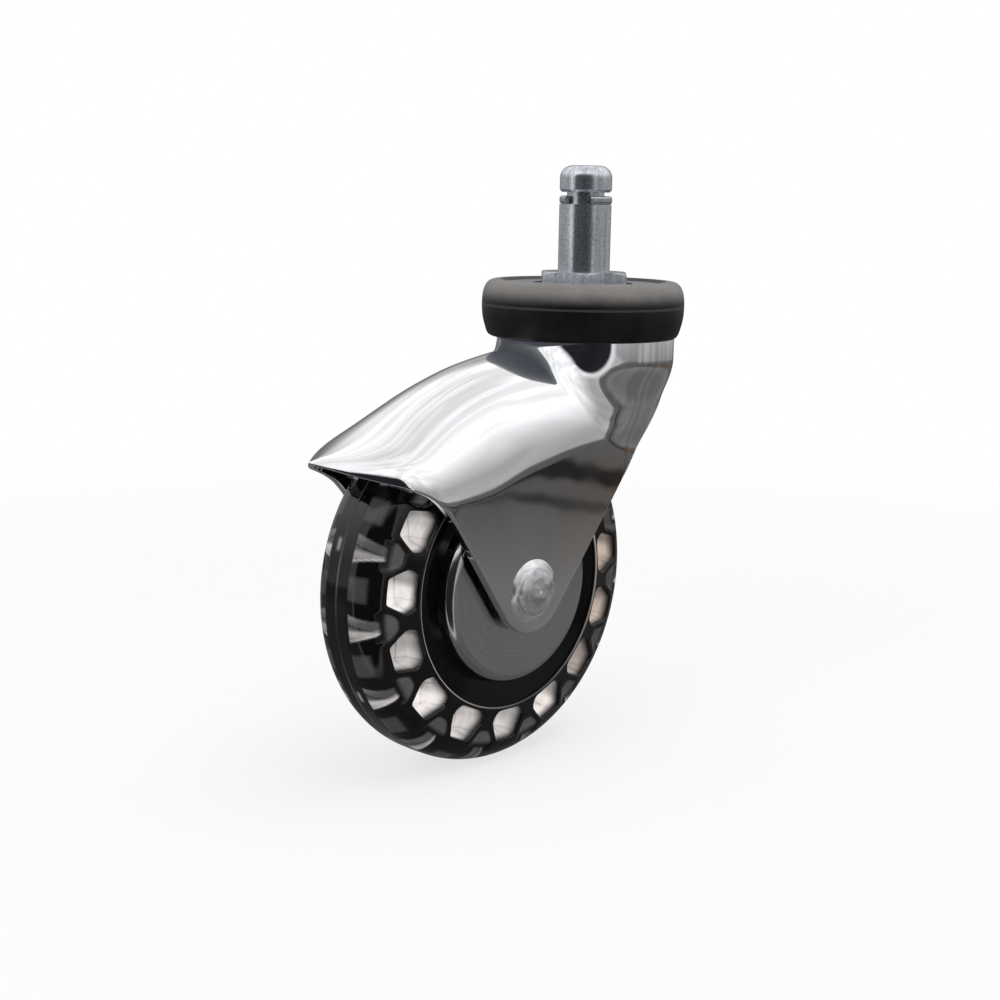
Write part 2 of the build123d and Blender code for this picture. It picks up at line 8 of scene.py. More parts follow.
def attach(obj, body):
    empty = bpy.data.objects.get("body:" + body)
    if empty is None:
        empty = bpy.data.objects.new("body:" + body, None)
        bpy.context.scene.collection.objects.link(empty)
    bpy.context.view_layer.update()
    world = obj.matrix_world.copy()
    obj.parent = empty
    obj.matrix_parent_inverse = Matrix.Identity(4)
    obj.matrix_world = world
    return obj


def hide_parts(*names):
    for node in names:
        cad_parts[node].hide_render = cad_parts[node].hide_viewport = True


# Looks of a hooded swivel castor, in metres: Z is the stem's axis, the axle lies along Y
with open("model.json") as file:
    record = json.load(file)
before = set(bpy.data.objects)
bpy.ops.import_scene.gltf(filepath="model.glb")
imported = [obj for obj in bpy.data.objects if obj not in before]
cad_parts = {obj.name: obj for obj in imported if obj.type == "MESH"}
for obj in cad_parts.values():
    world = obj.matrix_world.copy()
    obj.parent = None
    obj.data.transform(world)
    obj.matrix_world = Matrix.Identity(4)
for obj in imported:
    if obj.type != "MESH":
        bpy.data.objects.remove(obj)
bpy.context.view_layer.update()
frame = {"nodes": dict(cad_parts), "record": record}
nodes = frame["nodes"]
mm = 0.001
axleX, axleZ = -0.0301, -0.0619


# Mesh object from an (n, 3) array and an array of faces, smooth shaded, riding on a body
def newMesh(name, points, faces, body, material):
    mesh = bpy.data.meshes.new(name)
    mesh.from_pydata(np.asarray(points, float).tolist(), [], np.asarray(faces).tolist())
    mesh.validate()
    mesh.polygons.foreach_set("use_smooth", np.ones(len(mesh.polygons), bool))
    mesh.update()
    made = bpy.data.objects.new(name, mesh)
    bpy.context.scene.collection.objects.link(made)
    made.data.materials.append(material)
    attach(made, body)
    return made


# Quads of a grid stored row by row: a point, its right-hand neighbour, and the two above them.
# The last column joins the first, and the last row the first, so the surface is closed.
def gridFaces(rows, columns):
    across = np.arange(columns)
    beside = (across + 1) % columns
    low = np.arange(rows)[:, None]
    high = (low + 1) % rows
    corners = [low * columns + across, low * columns + beside, high * columns + beside, high * columns + across]
    return np.stack(corners, -1).reshape(-1, 4)


# Edges that run along the given rows of a grid stay crisp in the smooth shading
def sharpenRows(made, columns, rows):
    edges = made.data.edges
    ends = np.empty(len(edges) * 2, np.int32)
    edges.foreach_get("vertices", ends)
    first, second = (ends.reshape(-1, 2) // columns).T
    crisp = (first == second) & np.isin(first, rows)
    made.data.attributes.new("sharp_edge", "BOOLEAN", "EDGE").data.foreach_set("value", crisp)


# Profile of (radius, height) turned about Z: x = r cos t, y = r sin t, z = h
def turned(profile, steps):
    t = np.linspace(0, 2 * np.pi, steps, endpoint=False)
    r, h = np.asarray(profile, float).T
    x = r[:, None] * np.cos(t)
    y = r[:, None] * np.sin(t)
    z = h[:, None] + 0 * t
    return np.stack([x, y, z], -1).reshape(-1, 3)


# Node helpers: in each, a socket is linked and any other value is written


def setInput(tree, socket, value):
    if isinstance(value, bpy.types.NodeSocket):
        tree.links.new(value, socket)
    else:
        socket.default_value = value


def addNode(tree, kind, **inputs):
    made = tree.nodes.new(kind)
    for name, value in inputs.items():
        if hasattr(made, name):
            setattr(made, name, value)
            continue
        key = int(name[1:]) if name[0] == "i" and name[1:].isdigit() else name.replace("_", " ")
        setInput(tree, made.inputs[key], value)
    return made


def maths(tree, operation, a, b=0.0, c=0.0):
    made = tree.nodes.new("ShaderNodeMath")
    made.operation = operation
    for index, value in enumerate((a, b, c)):
        setInput(tree, made.inputs[index], value)
    return made.outputs[0]


# Product, or sum, of any number of values
def product(tree, first, *others):
    for other in others:
        first = maths(tree, "MULTIPLY", first, other)
    return first


def summed(tree, first, *others):
    for other in others:
        first = maths(tree, "ADD", first, other)
    return first


# Value carried from low..high to start..end and held at the ends
def mapped(tree, value, low, high, start, end, smooth=False):
    made = tree.nodes.new("ShaderNodeMapRange")
    made.interpolation_type = "SMOOTHSTEP" if smooth else "LINEAR"
    tree.links.new(value, made.inputs[0])
    for index, number in enumerate((low, high, start, end)):
        made.inputs[index + 1].default_value = number
    return made.outputs[0]


# Colour between two colours or sockets
def mixed(tree, share, first, second):
    made = tree.nodes.new("ShaderNodeMix")
    made.data_type = "RGBA"
    setInput(tree, made.inputs[0], share)
    for index, value in ((6, first), (7, second)):
        setInput(tree, made.inputs[index], value if isinstance(value, bpy.types.NodeSocket) else (*value, 1.0))
    return made.outputs[2]


# Product of two colours
def tinted(tree, first, second):
    made = addNode(tree, "ShaderNodeVectorMath", operation="MULTIPLY")
    tree.links.new(first, made.inputs[0])
    tree.links.new(second, made.inputs[1])
    return made.outputs[0]


def noise(tree, vector, scale, detail=3.0, rough=0.5):
    return addNode(tree, "ShaderNodeTexNoise", Vector=vector, Scale=scale, Detail=detail, Roughness=rough).outputs[0]


# Coordinates stretched by three factors
def stretched(tree, vector, scale):
    return addNode(tree, "ShaderNodeMapping", Vector=vector, Scale=scale).outputs[0]


# Material with a Principled shader, its constants and its object coordinates
def newMaterial(name, **settings):
    made = bpy.data.materials.new(name)
    made.use_nodes = True
    tree = made.node_tree
    shader = tree.nodes["Principled BSDF"]
    for key, value in settings.items():
        shader.inputs[key.replace("_", " ")].default_value = value
    place = tree.nodes.new("ShaderNodeTexCoord").outputs["Object"]
    return made, tree, shader, place


def bumped(tree, shader, height, strength, distance):
    made = addNode(tree, "ShaderNodeBump", Strength=strength, Distance=distance, Height=height)
    tree.links.new(made.outputs[0], shader.inputs["Normal"])


# Shader node groups, for what several materials share


# Empty group with named inputs and outputs
def newGroup(name, vectors, values, results):
    group = bpy.data.node_groups.new(name, "ShaderNodeTree")
    for socketName in vectors:
        group.interface.new_socket(socketName, in_out="INPUT", socket_type="NodeSocketVector")
    for socketName in values:
        group.interface.new_socket(socketName, in_out="INPUT", socket_type="NodeSocketFloat")
    for socketName in results:
        group.interface.new_socket(socketName, in_out="OUTPUT", socket_type="NodeSocketFloat")
    return group, group.nodes.new("NodeGroupInput").outputs, group.nodes.new("NodeGroupOutput").inputs


# Handling haze and moulding clouds: coarse noise
def makeHazeGroup():
    group, given, result = newGroup("cloudHaze", ("Vector",), ("Scale",), ("Cloud",))
    group.links.new(noise(group, given["Vector"], given["Scale"], 4.0, 0.6), result["Cloud"])
    return group


# Plated steel: drawn lines along the stretch, slow clouds and a fine speckle
def makePlateGroup():
    group, given, result = newGroup("plateGrain", ("Vector", "Stretch"), (), ("Lines", "Grain"))
    lines = noise(group, stretched(group, given["Vector"], given["Stretch"]), 900.0, 4.0, 0.6)
    cloud = noise(group, given["Vector"], 160.0, 3.0, 0.5)
    speckle = noise(group, given["Vector"], 2600.0, 3.0, 0.7)
    shares = (product(group, part, share) for part, share in ((lines, 0.4), (cloud, 0.15), (speckle, 0.45)))
    group.links.new(lines, result["Lines"])
    group.links.new(summed(group, *shares), result["Grain"])
    return group


# Radius from the axle and angle about it
def makeAxleGroup():
    group, given, result = newGroup("axlePlace", ("Vector",), (), ("Radius", "Angle"))
    parts = addNode(group, "ShaderNodeSeparateXYZ", Vector=given["Vector"]).outputs
    x = maths(group, "SUBTRACT", parts[0], axleX)
    z = maths(group, "SUBTRACT", parts[2], axleZ)
    squares = summed(group, product(group, x, x), product(group, z, z))
    group.links.new(maths(group, "SQRT", squares), result["Radius"])
    group.links.new(maths(group, "ARCTAN2", z, x), result["Angle"])
    return group


hazeGroup = makeHazeGroup()
plateGroup = makePlateGroup()
axleGroup = makeAxleGroup()
print("shared node groups made")


def haze(tree, place, scale):
    return addNode(tree, "ShaderNodeGroup", node_tree=hazeGroup, Vector=place, Scale=scale).outputs["Cloud"]


# Chrome of the hood: nearly a mirror, with faint waves from the press and a little handling haze
chromeLook = {
    "tint": (0.90, 0.91, 0.93),
    "warm": (0.84, 0.81, 0.78),
    "rough": (0.02, 0.07),
    "hazeScale": 95.0,
    "waveScale": 42.0,
    "waves": 0.03,
    "waveHeight": 0.0006,
}


def makeChrome():
    look = chromeLook
    made, tree, shader, place = newMaterial("hoodChrome", Metallic=1.0)
    cloud = haze(tree, place, look["hazeScale"])
    waves = noise(tree, stretched(tree, place, (1.0, 1.0, 1.4)), look["waveScale"], 1.0, 0.4)
    colour = mixed(tree, mapped(tree, cloud, 0.45, 0.8, 0.0, 0.5), look["tint"], look["warm"])
    tree.links.new(colour, shader.inputs["Base Color"])
    tree.links.new(mapped(tree, cloud, 0.35, 0.75, *look["rough"]), shader.inputs["Roughness"])
    bumped(tree, shader, waves, look["waves"], look["waveHeight"])
    return made


# Plated steels: the stem's zinc is bluish, with drawn streaks up the shank
plateLooks = {
    "stem": {
        "pale": (0.80, 0.84, 0.89),
        "deep": (0.34, 0.36, 0.40),
        "rough": (0.14, 0.36),
        "metal": 0.92,
        "stretch": (1.0, 1.0, 0.04),
    },
    "ring": {"pale": (0.6, 0.62, 0.66), "deep": (0.36, 0.38, 0.42), "rough": (0.22, 0.4)},
    "bearing": {"pale": (0.6, 0.6, 0.61), "deep": (0.45, 0.45, 0.46), "rough": (0.12, 0.25)},
    "shield": {"pale": (0.5, 0.5, 0.51), "deep": (0.36, 0.36, 0.37), "rough": (0.25, 0.4)},
}


def makePlated(name, look):
    made, tree, shader, place = newMaterial(name, Metallic=look.get("metal", 1.0))
    grain = addNode(tree, "ShaderNodeGroup", node_tree=plateGroup, Vector=place, Stretch=look.get("stretch", (1, 1, 1)))
    blend = grain.outputs["Grain"]
    colour = mixed(tree, mapped(tree, blend, 0.38, 0.62, 0.0, 1.0), look["deep"], look["pale"])
    tree.links.new(colour, shader.inputs["Base Color"])
    tree.links.new(mapped(tree, blend, 0.3, 0.7, look["rough"][1], look["rough"][0]), shader.inputs["Roughness"])
    bumped(tree, shader, grain.outputs["Lines"], 0.25, 0.0001)
    return made


# Faces turned about the axle: fine rings; the rivet's dome is smoother within its centre radius
turnedLooks = {
    "rivet": {
        "pale": (0.90, 0.91, 0.92),
        "deep": (0.42, 0.42, 0.44),
        "rough": (0.10, 0.24),
        "rings": 1500.0,
        "relief": 0.16,
        "metal": 0.8,
        "smear": 0.0012,
        "centre": 0.0022,
    },
    "cover": {
        "pale": (0.74, 0.73, 0.71),
        "deep": (0.66, 0.645, 0.63),
        "rough": (0.13, 0.2),
        "rings": 2400.0,
        "relief": 0.05,
        "smear": 0.0002,
    },
}


def makeTurned(name, look):
    made, tree, shader, place = newMaterial(name, Metallic=look.get("metal", 1.0))
    about = addNode(tree, "ShaderNodeGroup", node_tree=axleGroup, Vector=place).outputs
    swirl = summed(tree, about["Radius"], product(tree, noise(tree, place, 320.0, 2.0, 0.5), look["smear"]))
    where = addNode(tree, "ShaderNodeCombineXYZ", X=swirl, Y=product(tree, about["Angle"], 0.0006))
    rings = noise(tree, where.outputs[0], look["rings"], 3.0, 0.6)
    if "centre" in look:
        smooth = mapped(tree, about["Radius"], look["centre"], look["centre"] * 2.2, 0.75, 0.15, True)
        patch = noise(tree, stretched(tree, place, (1.0, 1.0, 1.8)), 260.0, 1.0, 0.4)
        ringed = product(tree, rings, maths(tree, "SUBTRACT", 1.0, smooth))
        rings = summed(tree, ringed, product(tree, patch, smooth))
    colour = mixed(tree, mapped(tree, rings, 0.35, 0.65, 0.0, 1.0), look["deep"], look["pale"])
    tree.links.new(colour, shader.inputs["Base Color"])
    tree.links.new(mapped(tree, rings, 0.3, 0.7, *look["rough"]), shader.inputs["Roughness"])
    bumped(tree, shader, rings, look["relief"], 0.0001)
    return made


# Mouldings: collar with a painted highlight on its satin shoulder above its seam, hub deep and glossy, cage cream
mouldLooks = {
    "collar": {
        "deep": (0.0035, 0.0035, 0.0035),
        "dust": (0.010, 0.0095, 0.009),
        "rough": (0.36, 0.5),
        "grain": 0.3,
        "sheen": 0.25,
        # painted highlight: the shoulder's paler grey stands in for the soft box overhead reflected in the satin rubber
        "shoulder": (0.21, 0.2, 0.192),
        "shoulderFrom": (-0.0066, -0.0032),  # heights between which the painted highlight comes in
        "seam": (0.04, 0.039, 0.037),
        "seamHeight": -0.0070,
        "mirrored": (0.055, 0.06, 0.072),  # painted reflection: how pale the collar glows in the chrome, seen by glossy rays only
    },
    "hub": {
        "deep": (0.002, 0.002, 0.0022),
        "dust": (0.004, 0.004, 0.0045),
        "rough": (0.1, 0.22),
        "grain": 0.1,
        "sheen": 0.2,
    },
    "cage": {
        "deep": (0.55, 0.53, 0.47),
        "dust": (0.7, 0.68, 0.62),
        "rough": (0.4, 0.6),
        "grain": 0.2,
        "sheen": 0.5,
    },
}


def makeMoulded(name, look):
    made, tree, shader, place = newMaterial(name, Specular_IOR_Level=look["sheen"])
    cloud = haze(tree, place, 130.0)
    grain = noise(tree, place, 2400.0, 2.0, 0.5)
    colour = mixed(tree, mapped(tree, cloud, 0.4, 0.7, 0.0, 1.0), look["deep"], look["dust"])
    # Painted highlight: paler colour on the shoulder above the seam, in place of the soft box's reflection
    if "shoulder" in look:
        height = addNode(tree, "ShaderNodeSeparateXYZ", Vector=place).outputs[2]
        highlightHeight = summed(tree, height, mapped(tree, cloud, 0.3, 0.7, -0.00012, 0.00012))
        above = mapped(tree, highlightHeight, *look["shoulderFrom"], 0.0, 1.0, True)
        above = product(tree, above, mapped(tree, cloud, 0.3, 0.7, 0.86, 1.06))
        colour = mixed(tree, above, colour, look["shoulder"])
        offSeam = maths(tree, "ABSOLUTE", maths(tree, "SUBTRACT", height, look["seamHeight"]))
        colour = mixed(tree, mapped(tree, offSeam, 0.00012, 0.00035, 1.0, 0.0, True), colour, look["seam"])
        # Painted reflection: an emission seen only by glossy rays, so the collar shows pale in the chrome
        inMirror = tree.nodes.new("ShaderNodeLightPath").outputs["Is Glossy Ray"]
        tree.links.new(mixed(tree, inMirror, (0.0, 0.0, 0.0), look["mirrored"]), shader.inputs["Emission Color"])
        shader.inputs["Emission Strength"].default_value = 1.0
    tree.links.new(colour, shader.inputs["Base Color"])
    tree.links.new(mapped(tree, cloud, 0.35, 0.7, *look["rough"]), shader.inputs["Roughness"])
    bumped(tree, shader, grain, look["grain"], 0.00005)
    return made


# Clear smoky tyre, opaque here: black in its thick walls; painted light in the pockets, a glow by emission in place of
# light from behind, dimmer through the tread
tyreLook = {
    "smoke": (0.004, 0.004, 0.0045),
    # painted light: grey and silver are the dim and pale ends of the glow in the pockets
    "grey": (0.02, 0.02, 0.021),
    "silver": (0.80, 0.765, 0.745),
    "amber": (0.66, 0.54, 0.46),
    "amberFrom": (-0.02, 0.0),  # X between which the painted light turns brown
    "glow": 0.6,
}


def makeTyre():
    look = tyreLook
    made, tree, shader, place = newMaterial(
        "tyreClear", IOR=1.45, Specular_IOR_Level=0.4, Coat_Weight=0.2, Coat_Roughness=0.03
    )
    gleam = addNode(tree, "ShaderNodeAttribute", attribute_name="gleam").outputs["Fac"]
    tone = addNode(tree, "ShaderNodeAttribute", attribute_name="tone").outputs["Fac"]
    cloud = noise(tree, stretched(tree, place, (1.0, 2.2, 1.0)), 260.0, 2.0, 0.5)
    tone = product(tree, tone, mapped(tree, cloud, 0.3, 0.7, 0.82, 1.12))
    along = addNode(tree, "ShaderNodeSeparateXYZ", Vector=place).outputs[0]
    amber = mixed(tree, mapped(tree, along, *look["amberFrom"], 0.0, 0.7, True), (1.0, 1.0, 1.0), look["amber"])
    shine = tinted(tree, mixed(tree, tone, look["grey"], look["silver"]), amber)
    tree.links.new(mixed(tree, gleam, look["smoke"], shine), shader.inputs["Base Color"])
    # Painted light: the pockets glow by emission, though no lamp is there
    lit = mixed(tree, product(tree, gleam, look["glow"]), (0.0, 0.0, 0.0), shine)
    tree.links.new(lit, shader.inputs["Emission Color"])
    shader.inputs["Emission Strength"].default_value = 1.0
    tree.links.new(mapped(tree, gleam, 0.0, 1.0, 0.05, 0.2), shader.inputs["Roughness"])
    bumped(tree, shader, cloud, 0.05, 0.0005)
    return made


materials = {
    "hood_chrome": makeChrome(),
    "zinc_steel": makePlated("zincSteel", plateLooks["stem"]),
    "spring_steel": makePlated("springSteel", plateLooks["ring"]),
    "bearing_steel": makePlated("bearingSteel", plateLooks["bearing"]),
    "shield_steel": makePlated("shieldSteel", plateLooks["shield"]),
    "rivet_steel": makeTurned("rivetSteel", turnedLooks["rivet"]),
    "cover_chrome": makeTurned("coverChrome", turnedLooks["cover"]),
    "collar_plastic": makeMoulded("collarPlastic", mouldLooks["collar"]),
    "hub_plastic": makeMoulded("hubPlastic", mouldLooks["hub"]),
    "cage_plastic": makeMoulded("cagePlastic", mouldLooks["cage"]),
    "tyre_clear": makeTyre(),
}
slotOf = {entry["node"]: entry["material_slot"] for entry in frame["record"]["subparts"]}
for nodeName, node in nodes.items():
    node.data.materials.clear()
    node.data.materials.append(materials[slotOf[nodeName]])
print("materials set on", len(nodes), "nodes")

# Hood: the pressed skin as a smooth surface. All in millimetres until the last step.
hoodSizes = {
    # X, how much narrower than the walls, height of the crown, height where the arch springs
    "stations": [
        (-74.4, 15.7, -33.6, -34.6),
        (-71.0, 11.8, -32.9, -35.8),
        (-66.0, 5.6, -31.3, -37.4),
        (-60.5, 1.0, -28.9, -39.6),
        (-53.0, 0.0, -24.9, -42.6),
        (-44.0, 0.0, -20.7, -42.0),
        (-32.0, 0.0, -17.1, -38.0),
        (-16.0, 0.0, -14.8, -34.5),
        (20.0, 0.0, -14.0, -31.0),
    ],
    "softening": 2.2,
    "halfWidth": 16.0,
    "column": 18.9,  # radius of the neck under the collar
    "columnShift": 1.15,
    "columnTop": -18.0,
    "columnFoot": -31.0,
    "blend": 6.0,
    "rearFade": 0.03,
    "footFade": 0.06,
    # lower border seen from the side: visor, round foot of the ear, rear edge
    "lip": [(-74.4, -33.6), (-67.7, -36.3), (-60.8, -38.6), (-55.5, -41.5), (-51.8, -45.6)],
    "footCentre": (-30.1, -61.9),
    "footRadius": 8.8,
    "footTurn": (212, 324),
    "rear": [(-4.0, -42.3), (3.5, -33.7), (9.6, -27.8), (15.0, -23.8), (21.5, -20.4)],
    "wall": 1.9,
    "edgeRound": 0.55,
    "heart": -45.0,  # height from which the skin is drawn outwards
    "top": -13.75,
    "columns": 170,
    "rows": 90,
    "innerRows": 50,
}


# Station values on a fine line of X: cubic pieces with harmonic mean slopes, then blurred
def easedTable(stations, softening):
    step, halfRun = 0.1, 80
    x, *values = np.array(stations, float).T
    fine = np.arange(x[0], x[-1], step)
    index = np.clip(np.searchsorted(x, fine, "right") - 1, 0, len(x) - 2)
    run = np.diff(x)
    t = (fine - x[index]) / run[index]
    weights = np.exp(-0.5 * (np.arange(-halfRun, halfRun + 1) * step / softening) ** 2)
    weights /= weights.sum()
    made = []
    for v in values:
        slope = np.diff(v) / run
        both = slope[:-1] * slope[1:]
        total = slope[:-1] + slope[1:]
        inner = np.where(both > 0, 2 * both / np.where(total == 0, 1, total), 0)
        m = np.concatenate([[slope[0]], inner, [slope[-1]]])
        a, b, h = v[index], v[index + 1], run[index]
        curve = (2 * t**3 - 3 * t**2 + 1) * a + (t**3 - 2 * t**2 + t) * h * m[index]
        curve = curve + (3 * t**2 - 2 * t**3) * b + (t**3 - t**2) * h * m[index + 1]
        before = curve[0] - slope[0] * step * np.arange(halfRun, 0, -1)
        after = curve[-1] + slope[-1] * step * np.arange(1, halfRun + 1)
        made.append(np.convolve(np.concatenate([before, curve, after]), weights, "valid"))
    return fine, made


hoodTable = easedTable(hoodSizes["stations"], hoodSizes["softening"])


# Below zero inside the hood's skin. The vault is an elliptical arch on upright walls: the length of
# (y / half width, height over the springing / rise), less one, times the half width. The neck is a
# column that narrows downwards. A soft least-of-two joins them: the lesser of the two, less the square
# of how far they overlap. Behind the stem the arch fades with x squared, and so does the column's foot.
def skinDistance(x, y, z):
    s = hoodSizes
    narrowing, crown, springing = (np.interp(x, hoodTable[0], column) for column in hoodTable[1])
    w = np.maximum(s["halfWidth"] - narrowing, 0.3)
    vault = (np.hypot(y / w, np.maximum(z - springing, 0) / (crown - springing)) - 1) * w
    vault = np.maximum(vault, s["stations"][0][0] - x) + s["rearFade"] * np.maximum(x + 4, 0) ** 2
    column = np.hypot(x - s["columnShift"], y) - s["column"]
    share = np.clip((s["columnTop"] - z) / (s["columnTop"] - s["columnFoot"]), 0, 1)
    taper = (s["column"] - s["halfWidth"] + 0.5) * share**2 * (3 - 2 * share)
    neck = column + taper + s["footFade"] * np.maximum(s["columnFoot"] + 4 - z, 0) ** 2
    overlap = np.maximum(s["blend"] - np.abs(vault - neck), 0) / s["blend"]
    return np.minimum(vault, neck) - overlap**2 * s["blend"] / 4


# Where a quantity stops being inside between low and high, by halving the stretch
def halved(inside, low, high):
    low, high = np.array(low, float), np.array(high, float)
    for _ in range(40):
        middle = (low + high) / 2
        within = inside(middle)
        low, high = np.where(within, middle, low), np.where(within, high, middle)
    return (low + high) / 2


# Natural cubic spline through points, its parameter the chord length
def smoothThrough(points, count):
    p = np.array(points, float)
    s = np.concatenate([[0], np.cumsum(np.hypot(*np.diff(p, axis=0).T))])
    h = np.diff(s)
    n = len(p)
    system, right = np.eye(n), np.zeros((n, 2))
    for i in range(1, n - 1):
        system[i, i - 1 : i + 2] = h[i - 1], 2 * (h[i - 1] + h[i]), h[i]
        right[i] = 6 * ((p[i + 1] - p[i]) / h[i] - (p[i] - p[i - 1]) / h[i - 1])
    m = np.linalg.solve(system, right)
    t = np.linspace(0, s[-1], count)
    i = np.clip(np.searchsorted(s, t, "right") - 1, 0, n - 2)
    u, v, w = (s[i + 1] - t)[:, None], (t - s[i])[:, None], h[i][:, None]
    bend = (m[i] * u**3 + m[i + 1] * v**3) / (6 * w)
    return bend + (p[i] / w - m[i] * w / 6) * u + (p[i + 1] / w - m[i + 1] * w / 6) * v


# The hood's lower border seen from the side, evenly spaced from the visor's tip to the back of the neck
def hoodOutline(inset):
    s = hoodSizes
    turn = np.radians(np.linspace(*s["footTurn"], 80))
    foot = np.array(s["footCentre"]) + s["footRadius"] * np.stack([np.cos(turn), np.sin(turn)], 1)
    front = np.linspace(s["lip"][-1], foot[0], 80)[1:]
    back = np.linspace(foot[-1], s["rear"][0], 80)[1:]
    pieces = [smoothThrough(s["lip"], 400), front, foot[1:], back, smoothThrough(s["rear"], 400)[1:]]
    line = np.concatenate(pieces)
    within = np.flatnonzero(skinDistance(line[:, 0], 0 * line[:, 0], line[:, 1]) < -inset)
    line = line[within[0] : within[-1] + 1]
    length = np.concatenate([[0], np.cumsum(np.hypot(*np.diff(line, axis=0).T))])
    even = np.linspace(0, length[-1], s["columns"])
    return np.interp(even, length, line[:, 0]), np.interp(even, length, line[:, 1])


# Skin points on rays from the hood's heart: azimuth from the border, height angle from border to collar
def hoodSkin(inset, rows):
    s = hoodSizes
    x, z = hoodOutline(inset)
    y = halved(lambda t: skinDistance(x, t, z) < -inset, 0 * x, 0 * x + 22)
    y[0] = y[-1] = 0
    azimuth = np.arctan2(y, x)
    low = np.arctan2(z - s["heart"], np.hypot(x, y))
    azimuth = np.concatenate([azimuth, -azimuth[-2:0:-1]])
    low = np.concatenate([low, low[-2:0:-1]])

    def insideAtTop(t):
        return skinDistance(t * np.cos(azimuth), t * np.sin(azimuth), s["top"]) < -inset

    high = np.arctan2(s["top"] - s["heart"], halved(insideAtTop, 0 * low, 0 * low + 30))
    angle = low + (high - low) * np.linspace(0, 1, rows)[:, None]
    direction = np.stack([np.cos(angle) * np.cos(azimuth), np.cos(angle) * np.sin(azimuth), np.sin(angle)], -1)

    def insideOnRay(t):
        return skinDistance(*(t[..., None] * direction + (0, 0, s["heart"])).transpose(2, 0, 1)) < -inset

    reach = halved(insideOnRay, 0 * angle, 0 * angle + 110)
    return reach[..., None] * direction + (0, 0, s["heart"])


# Outer skin from collar to border, a rounded rim (half a superellipse between the skins), and the inner skin
def hoodPoints():
    s = hoodSizes
    outer = hoodSkin(0.0, s["rows"])
    inner = hoodSkin(s["wall"], s["innerRows"])
    out = outer[0] - outer[1]
    out /= np.linalg.norm(out, axis=1)[:, None]
    turn = np.radians(np.array([12, 28, 45, 62, 78, 90, 102, 118, 135, 152, 168]))[:, None, None]
    across = np.sign(np.cos(turn)) * np.abs(np.cos(turn)) ** 0.5
    rise = np.sin(turn) ** 0.5
    rim = (outer[0] + inner[0]) / 2 + across * (outer[0] - inner[0]) / 2 + (rise - 1) * s["edgeRound"] * out
    start = outer[0] - s["edgeRound"] * out
    finish = inner[0] - s["edgeRound"] * out
    return np.concatenate([outer[:1:-1], start[None], rim, finish[None], inner[2:]])


hoodGrid = hoodPoints()
hoodRows, hoodColumns = hoodGrid.shape[:2]
chrome = materials["hood_chrome"]
hoodFaces = gridFaces(hoodRows, hoodColumns)
hood = newMesh("hoodShell", hoodGrid.reshape(-1, 3) * mm, hoodFaces, "fork_body", chrome)
sharpenRows(hood, hoodColumns, (0, hoodRows - 1))
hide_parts("hood")
print("hood skin", hoodGrid.shape)

# Neck: the turned web inside the collar, between the two ball rings, as (radius, height) in millimetres
neckSizes = {
    "profile": [
        (6.35, -8.3),
        (9.3, -8.3),
        (10.2, -9.0),
        (12.8, -9.0),
        (13.7, -8.3),
        (18.4, -8.3),
        (18.8, -8.7),
        (18.8, -13.6),
        (17.3, -13.9),
        (16.6, -14.6),
        (16.4, -12.2),
        (13.7, -11.9),
        (12.8, -11.2),
        (10.2, -11.2),
        (9.3, -11.9),
        (6.35, -11.9),
    ],
    "steps": 96,
}
neckRows, neckSteps = len(neckSizes["profile"]), neckSizes["steps"]
neckPoints = turned(neckSizes["profile"], neckSteps) * mm
neckFaces = gridFaces(neckRows, neckSteps)[:, ::-1]  # the profile runs clockwise, so its faces are turned round
neck = newMesh("hoodNeck", neckPoints, neckFaces, "fork_body", chrome)
sharpenRows(neck, neckSteps, range(neckRows))
print("neck web", len(neckPoints))

# Tyre: each half is a grid of angle about the axle by place along its section
tyreSizes = {
    "phase": 149.84,  # angle of the first inner pocket
    "count": 15,
    "perPocket": 52,
    "bore": 24.9,
    "edge": 10.5,
    "shoulder": (9.3, 30.5),  # half width and radius where the shoulder's arc starts
    "round": 7.0,
    "radius": 37.5,
    "lip": 0.45,
    "parting": 0.06,
    # half of each pocket's outline as (distance from the axle, half breadth)
    "inner": [(25.8, 3.2), (27.8, 4.4), (32.5, 2.5)],
    "outer": [(29.9, 1.3), (32.3, 3.0), (34.4, 3.0)],
    "corner": 0.8,
    "depth": 4.9,
    "outerDepth": 0.35,
    "wallRun": 0.75,
}


def softStep(value, low, high):
    t = np.clip((value - low) / (high - low), 0, 1)
    return t * t * (3 - 2 * t)


# Signed distance to a polygon mirrored about its middle line, its corners rounded by a soft maximum of
# the edges' distances: the logarithm of the sum of their exponentials
def pocketDistance(u, v, corners, rounding):
    ring = np.array(corners + [(r, -h) for r, h in corners[::-1]])
    middle = ring.mean(0)
    sharpness = 3.2 / rounding
    total = 0
    for a, b in zip(ring, np.roll(ring, -1, 0)):
        along = (b - a) / np.hypot(*(b - a))
        normal = np.array([along[1], -along[0]])
        normal = normal * np.sign(normal @ (a - middle))
        flat = (u - a[0]) * normal[0] + (v - a[1]) * normal[1]
        total = total + np.exp(np.clip(flat * sharpness, -60, 60))
    return np.log(total) / sharpness


# One half's section as (radius, width): bore, rounded lip, sloping flank, shoulder arc and half the tread
def tyreSection():
    s = tyreSizes
    edge, bore = s["edge"], s["bore"]
    sw, sr = s["shoulder"]
    turn = np.radians(np.linspace(0, 90, 6))[1:]
    lip = [(bore + s["lip"] * (1 - np.cos(t)), edge - s["lip"] * (1 - np.sin(t))) for t in turn]
    slope = (sw - edge) / (sr - bore)
    flank = [(r, edge + slope * (r - bore)) for r in np.arange(lip[-1][0] + 0.12, sr, 0.135)]
    arcTurn = np.linspace(0, np.radians(90), 72)
    arc = [(sr + s["round"] * np.sin(t), sw - s["round"] + s["round"] * np.cos(t)) for t in arcTurn]
    tread = [(s["radius"], y) for y in (1.9, 1.5, 1.1, 0.7, 0.4, 0.2, 0.0)]
    return np.array([(bore, 0.0), (bore, 4.0), (bore, edge - s["lip"])] + lip + flank + arc + tread)
